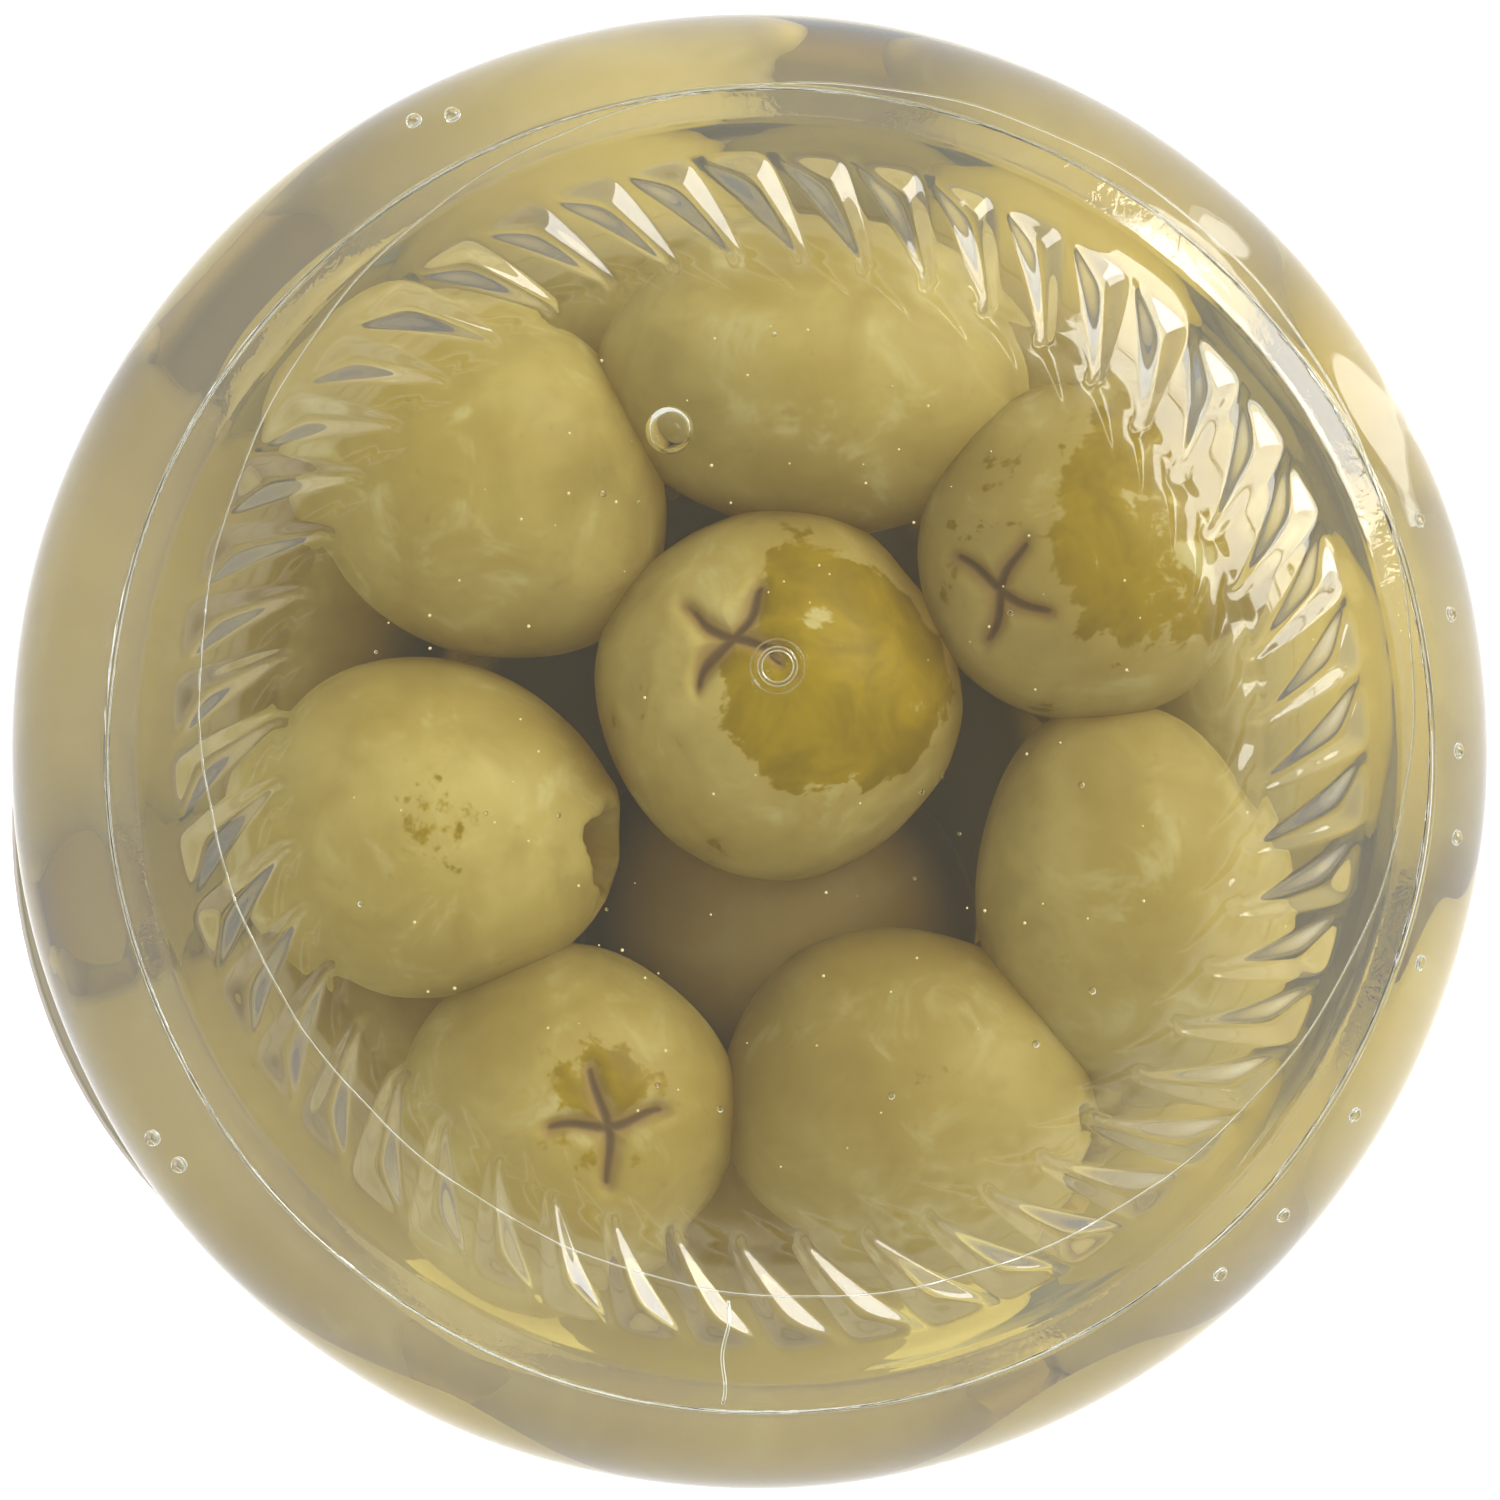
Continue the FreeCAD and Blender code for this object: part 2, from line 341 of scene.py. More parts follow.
def base_height(radius):
    """Height of the outside of the base, from the axis to the match line."""
    land = KNURL_DEPTH + 0.02
    edge = KNURL_INNER - 0.8
    inner = dome_height(np.minimum(radius, edge), edge, land, PUSH_UP - land)
    steps = [edge, KNURL_OUTER + 0.6, PLATE_RADIUS - 1.55, PLATE_RADIUS - 1.35, PLATE_RADIUS - 0.12]
    heights = [land, land, 0.95, 1.12, 1.82]
    outer = np.interp(radius, steps, heights)
    return np.where(radius < edge, inner, outer)


def floor_height(radius):
    """Height of the inside floor of the glass, out to the start of its corner."""
    trough = INNER_RADIUS - INNER_CORNER
    low = PUSH_UP + FLOOR_THICKNESS - INNER_DOME
    return dome_height(np.minimum(radius, trough), trough, low, INNER_DOME)


def knurl_turn(radius):
    """How far a knurl's straight flank has leaned round at a radius."""
    share = np.clip((KNURL_OUTER - radius) / (KNURL_OUTER - KNURL_INNER), -0.2, 1.15)
    return math.radians(4.0) * share


def edge_distance(x, y, start, end):
    """Distance to the right of the line from start to end."""
    along = np.array(end, float) - np.array(start, float)
    along /= np.hypot(*along)
    return (x - start[0]) * along[1] - (y - start[1]) * along[0]


def knurl_drop(radius, turns):
    """How far the knurls stand down from the valleys; turns is the place within one knurl's pitch, 0 to 1."""
    pitch = 2 * math.pi * radius / KNURL_COUNT
    drop = np.zeros(len(turns))
    for whole in (-1, 0, 1):
        x = (turns + whole) * pitch
        tip, near, far = (0.55, KNURL_INNER), (0.42, KNURL_OUTER), (2.45, KNURL_OUTER - 0.1)
        sides = [edge_distance(x, radius, near, tip), edge_distance(x, radius, tip, far),
                 edge_distance(x, radius, far, near)]
        outside = np.log(sum(np.exp(np.minimum(4.0 * side, 40)) for side in sides)) / 4.0
        share = np.clip((outside + 0.52) / 1.1, 0, 1)
        drop = np.maximum(drop, 1 - 0.7 * share - 0.3 * smooth_step(0, 1, share))
    return KNURL_DEPTH * drop


def off_axis(radius):
    """The bottom plate lies a little off the axis; the heel brings the section back to it."""
    return PLATE_CENTRE * (1 - smooth_step(PLATE_RADIUS - 1.0, BODY_RADIUS, radius))


def base_rings():
    """Rings of the outside of the base, from near the axis to the match line."""
    radii = np.concatenate([
        np.arange(0.3, 8.0, 0.3), np.arange(8.0, 23.6, 0.8), np.arange(23.8, 29.3, 0.19),
        np.arange(29.35, 30.6, 0.25), np.linspace(30.65, 32.08, 10),
    ])
    rings = []
    for radius in radii:
        knurled = 23.7 < radius < 29.32
        finer = 8 if knurled else (4 if 23 < radius < 29.5 else (2 if radius > 20 else 1))
        count = finer * ROUND
        turn = knurl_turn(radius)
        centre = off_axis(radius)
        ring = ring_points(radius, 0.0, count, turn, centre)
        heights = np.full(count, float(base_height(radius)))
        if knurled:
            pitch = 2 * math.pi / KNURL_COUNT
            angles = 2 * math.pi * np.arange(count) / count
            heights -= knurl_drop(radius, (-angles / pitch) % 1.0)
        ring[:, 2] = heights + base_marks(ring[:, :2], radius)
        rings.append(ring)
    return rings


def base_marks(places, radius):
    """Small marks of the mould on the base: pip, ripples and a slow wave."""
    from_pip = np.linalg.norm(places - PIP_CENTRE, axis=1)
    pip = -0.10 * np.exp(-((from_pip - 0.72) / 0.16) ** 2)
    ripple = 0.034 * np.cos(2 * math.pi * from_pip / 2.1) * np.exp(-((from_pip - 4.6) / 2.4) ** 2)
    ripple += 0.02 * np.exp(-((from_pip - 1.35) / 0.2) ** 2)
    slow = 0.03 * waves(places, 14.0, 3)
    band = 0.003 * np.cos(2 * math.pi * radius / 0.62) * smooth_step(28.9, 29.4, radius)
    band += 0.016 * waves(places, 1.9, 5) * smooth_step(30.5, 30.8, radius)
    return pip + ripple + slow * smooth_step(3, 10, radius) + band


HEEL_RISE = HEEL_TOP - PLATE_EDGE_HEIGHT
HEEL_BEND = (HEEL_WIDTH**2 + HEEL_RISE**2) / (2 * HEEL_WIDTH)


def heel_height(radius):
    """Height of the heel's surface at a radius."""
    return HEEL_TOP - math.sqrt(HEEL_BEND**2 - (radius - BODY_RADIUS + HEEL_BEND) ** 2)


def outer_rings():
    """Rings of the outside of the glass, from the match line to the rim."""
    heel_start = -math.degrees(math.asin(HEEL_RISE / HEEL_BEND))
    neck = NECK_BEAD
    section = np.concatenate([
        [(PLATE_RADIUS - 0.05, PLATE_EDGE_HEIGHT - 0.08), (PLATE_RADIUS, PLATE_EDGE_HEIGHT - 0.03)],
        arc(BODY_RADIUS - HEEL_BEND, HEEL_TOP, HEEL_BEND, heel_start, 0, 26)[1:],
        stretch((BODY_RADIUS, 10.5), (BODY_RADIUS, SHOULDER_START), 36),
        shoulder_points(BODY_RADIUS, SHOULDER_RADIUS, NECK_RADIUS, NECK_FILLET, 12),
        [(NECK_RADIUS, neck - 0.5), (NECK_RADIUS + 0.1, neck), (NECK_RADIUS + 0.6, neck + 0.3)],
        arc(NECK_RADIUS + 0.2, neck + 1.4, 1.2, -50, 60, 8),
        [(FINISH_RADIUS + 0.5, neck + 2.95), (FINISH_RADIUS + 0.1, neck + 3.3)],
        stretch((FINISH_RADIUS, neck + 3.8), (FINISH_RADIUS, THREAD_LOW), 4),
        stretch((FINISH_RADIUS, THREAD_LOW), (FINISH_RADIUS, THREAD_HIGH), 10),
        stretch((FINISH_RADIUS, THREAD_HIGH), (FINISH_RADIUS, GLASS_TOP - 0.8), 3),
        arc(FINISH_RADIUS - 0.8, GLASS_TOP - 0.8, 0.8, 0, 90, 5),
        arc(MOUTH_RADIUS + 0.7, GLASS_TOP - 0.7, 0.7, 90, 180, 5),
    ])
    rings = []
    for radius, height in section:
        count = 2 * ROUND if height < HEEL_TOP + 0.5 else ROUND
        centre = off_axis(radius if height < HEEL_TOP else BODY_RADIUS)
        ring = ring_points(radius, height, count, knurl_turn(0), centre)
        outwards = ring[:, :2] / np.linalg.norm(ring[:, :2], axis=1)[:, None]
        swell = side_swell(ring) * smooth_step(PLATE_RADIUS + 0.1, BODY_RADIUS, radius)
        swell *= 1 - smooth_step(108, 112, height)
        swell += thread(ring)
        ring[:, :2] += outwards * swell[:, None]
        rings.append(ring)
    return rings


def side_swell(ring):
    """Slow unevenness of the side, as blown glass has."""
    around = np.column_stack([ring[:, :2], ring[:, 2] * 0.45])
    return 0.035 * waves(around, 16.0, 8) - 0.06


def thread(ring):
    """Four slightly slanted lugs of the finish, under the lid."""
    angles = np.degrees(np.arctan2(ring[:, 1], ring[:, 0])) % 90
    rise = THREAD_LOW + 0.8 + 0.9 * angles / 52
    across = 1 - smooth_step(0.35, 0.9, np.abs(ring[:, 2] - rise))
    return 1.3 * across * smooth_step(0, 4, angles) * (1 - smooth_step(48, 52, angles))


def inner_section():
    """Inside of the glass, from the mouth down to the middle of the floor."""
    corner_middle = INNER_RADIUS - INNER_CORNER
    trough = float(floor_height(corner_middle))
    shoulder = shoulder_points(INNER_RADIUS, SHOULDER_RADIUS - BODY_WALL, MOUTH_RADIUS, MOUTH_FILLET, 12)
    corner = arc(corner_middle, trough + INNER_CORNER, INNER_CORNER, 0, -90, 26)
    radii = np.concatenate([np.arange(21.4, 8.0, -0.7), np.arange(8.0, 0.2, -0.6)])
    floor = np.column_stack([radii, floor_height(radii)])
    return np.concatenate([
        stretch((MOUTH_RADIUS, GLASS_TOP - 1.5), (MOUTH_RADIUS, 112.0), 8),
        shoulder[::-1],
        stretch((INNER_RADIUS, SHOULDER_START - 2.5), (INNER_RADIUS, trough + INNER_CORNER), 36),
        corner,
        floor,
    ])


def inner_rings(section, outwards=0.0):
    """Rings of the inside of the glass, moved into the wall by a distance."""
    along = np.gradient(section, axis=0)
    along /= np.linalg.norm(along, axis=1)[:, None]
    into_wall = np.column_stack([-along[:, 1], along[:, 0]])
    rings = []
    for (radius, height), (side, up) in zip(section, into_wall):
        ring = ring_points(radius, height, INNER_ROUND)
        around = np.column_stack([ring[:, :2], ring[:, 2] * 0.6])
        uneven = 0.05 * waves(around, 13.0, 21) + 0.03 * waves(around, 6.0, 22)
        shift = outwards + uneven * (1 - smooth_step(104, 110, height))
        ring[:, :2] += ring[:, :2] / radius * (side * shift)[:, None]
        ring[:, 2] += up * shift
        rings.append(ring)
    return rings


def on_its_way(tree):
    """1 for light on its way to a lamp, or from one matt surface to the next."""
    to_lamps = tree.node("LightPath", output="Is Shadow Ray")
    from_matt = tree.node("LightPath", output="Is Diffuse Ray")
    return to_lamps.math("MAXIMUM", to_lamps, from_matt)


def clear_to_shadows(tree, shader, tint):
    """Light reaches what lies behind the clear shader straight, a little dimmed."""
    straight = tree.node("BsdfTransparent", inputs={"Color": tint})
    turns = tree.node("LightPath", output="Ray Depth")
    caught = turns.math("GREATER_THAN", turns, 6.5)     # light caught in the wall leaves it
    share = on_its_way(tree)
    return tree.blend(share.math("MAXIMUM", share, caught), shader, straight)


def glass_material():
    made, tree = material("flint_glass")
    where = tree.place()
    ripple = tree.noise(where, 90.0, 2.0)
    x = tree.part(where, "X") - PLATE_CENTRE[0] * MM
    y = tree.part(where, "Y")
    z = tree.part(where, "Z")
    radius = (x * x + y * y).power(0.5) / MM
    slope = tree.step(radius, 30.5, 30.8) * (1.0 - tree.step(radius, 31.9, 32.1))
    slope = slope * (1.0 - tree.step(z, 0.002, 0.003))
    mottle = tree.noise(where, 1100.0, 3.0, 0.6, 0.5) * slope
    bump = tree.bump(ripple + mottle * 2.6, 0.25, 0.00008)
    shader = tree.node("BsdfPrincipled", inputs={
        "Base Color": colour(250, 252, 249), "Roughness": 0.0, "IOR": 1.52,
        "Transmission Weight": 1.0, "Normal": bump,
    })
    tree.surface(clear_to_shadows(tree, shader, (0.96, 0.97, 0.96, 1.0)))
    return made


def make_glass():
    piece = skin("glass_jar", base_rings() + outer_rings() + inner_rings(inner_section()))
    piece.data.materials.append(glass_material())
    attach(piece, "root")
    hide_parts("jar_glass")


# ---- brine
def brine_material():
    made, tree = material("brine_liquid")
    shader = tree.node("BsdfPrincipled", inputs={
        "Base Color": (1.0, 1.0, 1.0, 1.0), "Roughness": 0.0, "IOR": 1.34, "Transmission Weight": 1.0,
    })
    tint = tree.node("VolumeAbsorption", inputs={"Color": (0.93, 0.86, 0.55, 1.0), "Density": 24.0})
    cloud = tree.node("VolumeScatter", inputs={
        "Color": (0.95, 0.89, 0.70, 1.0), "Density": 12.0, "Anisotropy": 0.3,
    })
    volume = tree.both(tint, cloud)
    tree.surface(clear_to_shadows(tree, shader, (1.0, 1.0, 1.0, 1.0)), volume)
    return made


def make_brine():
    section = inner_section()
    below = section[section[:, 1] < BRINE_LEVEL - 1.2]
    walls = inner_rings(below, INTO_WALL)
    edge = MOUTH_RADIUS + INTO_WALL
    creeping = [(0.0, 0.2), (0.35, -0.15), (1.0, -0.55), (2.2, -0.8)]   # inwards from the glass, and up
    meniscus = [ring_points(edge - inwards, BRINE_LEVEL + up, INNER_ROUND) for inwards, up in creeping]
    level = [ring_points(radius, BRINE_LEVEL - 0.85, INNER_ROUND) for radius in (22.0, 14.0, 6.0, 1.0)]
    piece = skin("brine_fill", walls[::-1] + meniscus + level)
    piece.data.materials.append(brine_material())
    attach(piece, "root")
    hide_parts("brine")


# ---- marks of the mould
SEAM_CENTRE = np.array([2.8, -3.0])
SEAM_RADIUS = 29.4
DOT_RADIUS = 0.42
# directions of the small raised dots on the heel
HEEL_DOTS = (-19, -11, 0, 7, 17.5, 31, 41, 48, 144, 147, -115, -118)


def surface_height(places):
    """Height of the outside of the base at places, knurls included."""
    from_plate = places - PLATE_CENTRE
    radius = np.hypot(*from_plate.T)
    height = base_height(radius)
    pitch = 2 * math.pi / KNURL_COUNT
    for index in np.flatnonzero((radius > 23.8) & (radius < 29.3)):
        angle = math.atan2(from_plate[index, 1], from_plate[index, 0]) - knurl_turn(radius[index])
        height[index] -= knurl_drop(radius[index], np.array([(-angle / pitch) % 1.0]))[0]
    return height


def tube(points, thickness, closed, sides=8):
    """Points and faces of a thin round bar along points."""
    after = np.roll(points, -1, axis=0) - np.roll(points, 1, axis=0)
    if not closed:
        after[0] = points[1] - points[0]
        after[-1] = points[-1] - points[-2]
    after /= np.linalg.norm(after, axis=1)[:, None]
    side = np.cross(after, [0, 0, 1.0])
    side /= np.linalg.norm(side, axis=1)[:, None]
    other = np.cross(side, after)
    turn = 2 * math.pi * np.arange(sides) / sides
    rings = points[:, None] + thickness * (
        side[:, None] * np.cos(turn)[None, :, None] + other[:, None] * np.sin(turn)[None, :, None]
    )
    count = len(points)
    faces = []
    for row in range(count if closed else count - 1):
        below, above = row * sides, (row + 1) % count * sides
        for i in range(sides):
            j = (i + 1) % sides
            faces.append((below + i, below + j, above + j, above + i))
    if not closed:
        faces.append(tuple(range(sides)))
        faces.append(tuple(range((count - 1) * sides, count * sides)))
    return rings.reshape(-1, 3), faces


def circle(radius, turn):
    """Points round the origin, at a radius that may change with the turn."""
    return np.reshape(radius, (-1, 1)) * np.column_stack([np.cos(turn), np.sin(turn)])


def make_seams():
    """The baffle's ring, the pip's two rings, a short cold mark, the match line and the heel's dots."""
    turn = 2 * math.pi * np.arange(720) / 720
    wobble = 0.05 * np.sin(5 * turn) + 0.04 * np.sin(23 * turn)
    seam = SEAM_CENTRE + circle(SEAM_RADIUS + wobble, turn)
    pip = PIP_CENTRE + circle(0.86, turn[::8])
    wave = PIP_CENTRE + circle(1.32, turn[::8])
    share = np.linspace(0, 1, 40)
    cold = np.column_stack([-1.0 - 0.3 * share + 0.12 * np.sin(9 * share), 26.6 + 5.0 * share])
    line_radius = PLATE_RADIUS - 0.06 + 0.07 * np.sin(3 * turn + 1) + 0.04 * np.sin(11 * turn)
    match = PLATE_CENTRE + circle(line_radius, turn)
    parts = [
        (seam, 0.055, True), (pip, 0.13, True), (wave, 0.04, True), (cold, 0.09, False),
        (match, 0.11, True),
    ]
    points, faces, total = [], [], 0
    for places, thickness, closed in parts:
        line = np.column_stack([places, surface_height(places) - thickness * 0.2])
        made, made_faces = tube(line, thickness, closed)
        points.append(made)
        faces += [tuple(total + corner for corner in face) for face in made_faces]
        total += len(made)
    ball, ball_faces = sphere_grid(12, 8)
    for direction in HEEL_DOTS:
        radius = 34.3 + 0.3 * math.sin(direction)
        way = np.array([math.cos(math.radians(direction)), math.sin(math.radians(direction))])
        points.append(ball * DOT_RADIUS + [*(radius * way), heel_height(radius) + 0.05])
        faces += [tuple(total + corner for corner in face) for face in ball_faces]
        total += len(ball)
    piece = new_mesh("glass_seams", np.concatenate(points), faces)
    piece.data.materials.append(bpy.data.materials["flint_glass"])
    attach(piece, "root")


# ---- bubbles and crumbs
def scatter_tree():
    """Geometry nodes that scatter small balls over a surface, as one mesh."""
    tree = bpy.data.node_groups.new("balls_on_a_surface", "GeometryNodeTree")
    sockets = tree.interface
    sockets.new_socket("Geometry", in_out="INPUT", socket_type="NodeSocketGeometry")
    for name, kind in (("Density", "Float"), ("Seed", "Int"), ("Smallest", "Float"), ("Largest", "Float"),
                       ("Material", "Material")):
        sockets.new_socket(name, in_out="INPUT", socket_type="NodeSocket" + kind)
    sockets.new_socket("Geometry", in_out="OUTPUT", socket_type="NodeSocketGeometry")

    def node(kind, **inputs):
        made = tree.nodes.new(kind)
        for name, value in inputs.items():
            socket = made.inputs[name.replace("_", " ")]
            if isinstance(value, bpy.types.NodeSocket):
                tree.links.new(value, socket)
            else:
                socket.default_value = value
        return made

    given = node("NodeGroupInput").outputs
    spots = node("GeometryNodeDistributePointsOnFaces", Mesh=given["Geometry"],
                 Density=given["Density"], Seed=given["Seed"])
    ball = node("GeometryNodeMeshIcoSphere", Radius=1.0, Subdivisions=3)
    size = node("FunctionNodeRandomValue", Seed=given["Seed"])
    tree.links.new(given["Smallest"], size.inputs[2])
    tree.links.new(given["Largest"], size.inputs[3])
    balls = node("GeometryNodeInstanceOnPoints", Points=spots.outputs["Points"],
                 Instance=ball.outputs["Mesh"], Scale=size.outputs[1])
    real = node("GeometryNodeRealizeInstances", Geometry=balls.outputs[0])
    smooth = node("GeometryNodeSetShadeSmooth", Geometry=real.outputs[0])
    painted = node("GeometryNodeSetMaterial", Geometry=smooth.outputs[0], Material=given["Material"])
    tree.links.new(painted.outputs[0], node("NodeGroupOutput").inputs[0])
    return tree


def scattered(name, surface, tree, shown_material, **values):
    """A plain mesh of balls over a surface given as points and faces in millimetres."""
    carrier = new_mesh(name + "_carrier", *surface)
    modifier = carrier.modifiers.new("scatter", "NODES")
    modifier.node_group = tree
    values["Material"] = shown_material
    for socket in tree.interface.items_tree:
        if socket.in_out == "INPUT" and socket.name in values:
            modifier[socket.identifier] = values[socket.name]
    done = carrier.evaluated_get(bpy.context.evaluated_depsgraph_get())
    mesh = bpy.data.meshes.new_from_object(done)
    bpy.data.objects.remove(carrier)
    piece = bpy.data.objects.new(name, mesh)
    bpy.context.scene.collection.objects.link(piece)
    return piece


def floor_patch(lift):
    """A dish that lies on the inside floor of the glass, that far above it."""
    radii = np.array([0.5, 6, 11, 16, 21])
    rings = [ring_points(radius, float(floor_height(radius)) + lift, 48) for radius in radii]
    faces = []
    for row in range(len(radii) - 1):
        for i in range(48):
            j = (i + 1) % 48
            faces.append((row * 48 + i, row * 48 + j, row * 48 + 48 + j, row * 48 + 48 + i))
    return np.concatenate(rings), faces


def air_material():
    made, tree = material("air_bubble")
    tree.surface(tree.node("BsdfGlass", inputs={"Color": (1, 1, 1, 1), "Roughness": 0.0, "IOR": 0.746}))
    return made


def plain_material(name, shown):
    """A matt material of one colour."""
    made, tree = material(name)
    tree.surface(tree.node("BsdfPrincipled", inputs={"Base Color": shown, "Roughness": 0.5}))
    return made


def make_bubbles():
    tree = scatter_tree()
    air = air_material()
    small = scattered("bubbles_small", floor_patch(0.45), tree, air, Density=16000.0, Seed=5,
                      Smallest=0.00006, Largest=0.00020)
    bits = plain_material("olive_crumb", colour(206, 190, 136))
    crumbs = scattered("olive_crumbs", floor_patch(0.35), tree, bits, Density=70000.0, Seed=9,
                       Smallest=0.00003, Largest=0.00009)
    unit, faces = sphere_grid(40, 24)
    place = np.array([-3.9, -15.9])
    height = float(floor_height(math.hypot(*place)))
    big = new_mesh("bubble_large", unit * [1.2, 1.2, 0.95] + [*place, height + 1.15], faces)
    big.data.materials.append(air)
    for piece, slot in ((small, "brine"), (big, "brine"), (crumbs, "olive")):
        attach(piece, "root")


# ---- olives
# The bottom layer, one by one: middle, where the pitted end points, length, width, what that end is like,
# turn about the long axis, share of brown, and how patchily the glass wets the skin.
CUT, HOLE, WHOLE = 1.0, 0.5, 0.0         # a crosswise cut, a round pit hole, or neither
LAYER = [
    # x, y, height, azimuth, lift, length, width, end, turn, brown, mottle
    (1.5, -2.9, 17.0, -130, -66, 20.0, 18.4, CUT, 20, 0.10, 1.5),
    (-13.6, -13.8, 17.2, 40, 10, 20.5, 17.6, WHOLE, 0, 0.05, 0.35),
    (3.3, -18.9, 16.9, 186, -6, 22.4, 15.8, WHOLE, 70, 0.15, 0.3),
    (17.7, -10.4, 16.4, 155, -52, 20.2, 17.4, CUT, 40, 0.30, 2.2),
    (19.4, 7.6, 17.0, 80, 12, 21.0, 16.0, WHOLE, 0, 0.25, 0.6),
    (8.2, 18.0, 17.2, 20, -14, 19.8, 17.8, HOLE, 15, 0.35, 0.5),
    (-9.4, 18.6, 17.4, -3, -76, 19.4, 17.2, CUT, 5, 0.20, 0.7),
    (-16.4, 4.0, 16.8, 6, -10, 19.6, 17.4, HOLE, 50, 0.05, 0.3),
    (1.4, 8.4, 26.0, 10, 5, 21.0, 17.0, WHOLE, 0, 0.95, 0.3),
]
# The ring of olives by the wall above them: direction from the axis, height, lift, length, width.
WALL_RING = [
    (-108, 31.5, 15, 20.4, 17.0),
    (-57, 30.6, -20, 19.6, 16.8),
    (-6, 31.0, 12, 21.0, 16.6),
    (43, 31.8, -8, 20.0, 17.2),
    (91, 30.8, 20, 19.4, 16.6),
    (141, 31.4, -14, 20.6, 17.0),
    (-167, 31.0, 6, 20.2, 16.8),
]
UPPER_COUNT = 37
SETTLING_STEPS = 420


def sphere_grid(across, along):
    """Unit sphere points with poles on Z, and their faces."""
    steps = np.linspace(0, 1, along + 1)
    tilt = math.pi * (0.55 * steps + 0.45 * steps**1.6)
    turn = 2 * math.pi * np.arange(across) / across
    rows = [np.array([[0, 0, 1.0]])]
    for angle in tilt[1:-1]:
        ring = np.column_stack([
            math.sin(angle) * np.cos(turn), math.sin(angle) * np.sin(turn), np.full(across, math.cos(angle))
        ])
        rows.append(ring)
    rows.append(np.array([[0, 0, -1.0]]))
    points = np.concatenate(rows)
    here = np.arange(across)
    there = (here + 1) % across
    faces = [(0, 1 + i, 1 + j) for i, j in zip(here.tolist(), there.tolist())]
    for row in range(along - 2):
        start = 1 + row * across
        quads = np.column_stack([start + here, start + across + here, start + across + there, start + there])
        faces += quads.tolist()
    last = len(points) - 1
    start = 1 + (along - 2) * across
    faces += [(start + i, last, start + j) for i, j in zip(here.tolist(), there.tolist())]
    return points, faces


def frame_of(azimuth, lift, turn):
    """Three axes, as columns, of something whose Z points that way."""
    azimuth, lift, turn = map(math.radians, (azimuth, lift, turn))
    up = np.array([
        math.cos(lift) * math.cos(azimuth), math.cos(lift) * math.sin(azimuth), math.sin(lift)
    ])
    side = np.cross([0, 0, 1.0], up)
    side /= np.linalg.norm(side)
    other = np.cross(up, side)
    x_axis = side * math.cos(turn) + other * math.sin(turn)
    return np.column_stack([x_axis, np.cross(up, x_axis), up])


def olive_shape(unit, length, width, end, seed):
    """An olive with its pitted end at +Z: points in its own axes, and how deep each one lies in the cut."""
    random = np.random.default_rng(seed)
    z = unit[:, 2]
    across = np.linalg.norm(unit[:, :2], axis=1)
    angle = np.arctan2(unit[:, 1], unit[:, 0])
    belly = 1 + random.uniform(-0.05, 0.05) * z - 0.04 * z**2
    lumps = 1 + 0.014 * waves(unit, 1.5, seed) + 0.002 * waves(unit, 0.5, seed + 1)
    oval = 1 + random.uniform(0.0, 0.05) * np.cos(2 * angle + random.uniform(0, 6))
    points = np.column_stack([
        unit[:, 0] * width / 2 * belly * lumps * oval,
        unit[:, 1] * width / 2 * belly * lumps / oval,
        z * length / 2 * lumps,
    ])
    cut = np.zeros(len(unit))
    x = points[:, 0] + 0.25 * np.sin(points[:, 1] * 1.3 + seed)
    y = points[:, 1] + 0.25 * np.sin(points[:, 0] * 1.1 + seed)
    top = smooth_step(0.35, 0.6, z)
    if end == CUT:
        for along, off in ((x, y), (y, x)):
            reach = 1 - smooth_step(2.7, 3.9, np.abs(along))
            groove = np.exp(-(off / (0.78 - 0.10 * np.abs(along))) ** 2)
            cut = np.maximum(cut, groove * reach * top)
        pucker = np.exp(-(np.hypot(points[:, 0], points[:, 1]) / 3.0) ** 2)
        points[:, 2] -= top * pucker * 0.35
        points[:, 2] -= cut * 0.6
        points[:, :2] *= (1 + 0.03 * cut)[:, None]
    elif end == HOLE:
        radius = np.hypot(x, y)
        ragged = 2.5 * (1 + 0.12 * np.sin(3 * angle + seed) + 0.07 * np.sin(7 * angle + 2 * seed))
        cut = (1 - smooth_step(ragged * 0.72, ragged * 1.12, radius)) * top
        rim = np.exp(-((radius - ragged * 1.25) / 0.5) ** 2) * top
        points[:, 2] += 0.15 * rim - cut * 3.4
    stem = np.exp(-(across / 0.16) ** 2) * (z < 0)
    points[:, 2] += stem * 0.5
    return points, cut


def glass_distance(points):
    """How far points inside the jar are from the glass."""
    radius = np.hypot(points[:, 0], points[:, 1])
    corner_middle = INNER_RADIUS - INNER_CORNER
    trough = float(floor_height(corner_middle))
    side = INNER_RADIUS - radius
    floor = points[:, 2] - floor_height(np.minimum(radius, corner_middle))
    off = np.hypot(radius - corner_middle, points[:, 2] - trough - INNER_CORNER)
    in_corner = (radius > corner_middle) & (points[:, 2] < trough + INNER_CORNER)
    return np.where(in_corner, INNER_CORNER - off, np.minimum(side, floor))


def glass_push(points):
    """The way back into the jar from the nearest glass."""
    step = 0.05
    here = glass_distance(points)
    ways = []
    for axis in range(3):
        moved = points.copy()
        moved[:, axis] += step
        ways.append(glass_distance(moved) - here)
    way = np.column_stack(ways) / step
    return way / np.maximum(np.linalg.norm(way, axis=1), 1e-6)[:, None]


def press_on_glass(points, gap):
    """Soft skin flattens a little where it meets the glass."""
    distance = glass_distance(points)
    deep = np.maximum(gap + 0.25 - distance, 0)
    pushed = deep - 0.25 * (1 - np.exp(-deep / 0.25))
    return points + glass_push(points) * pushed[:, None]


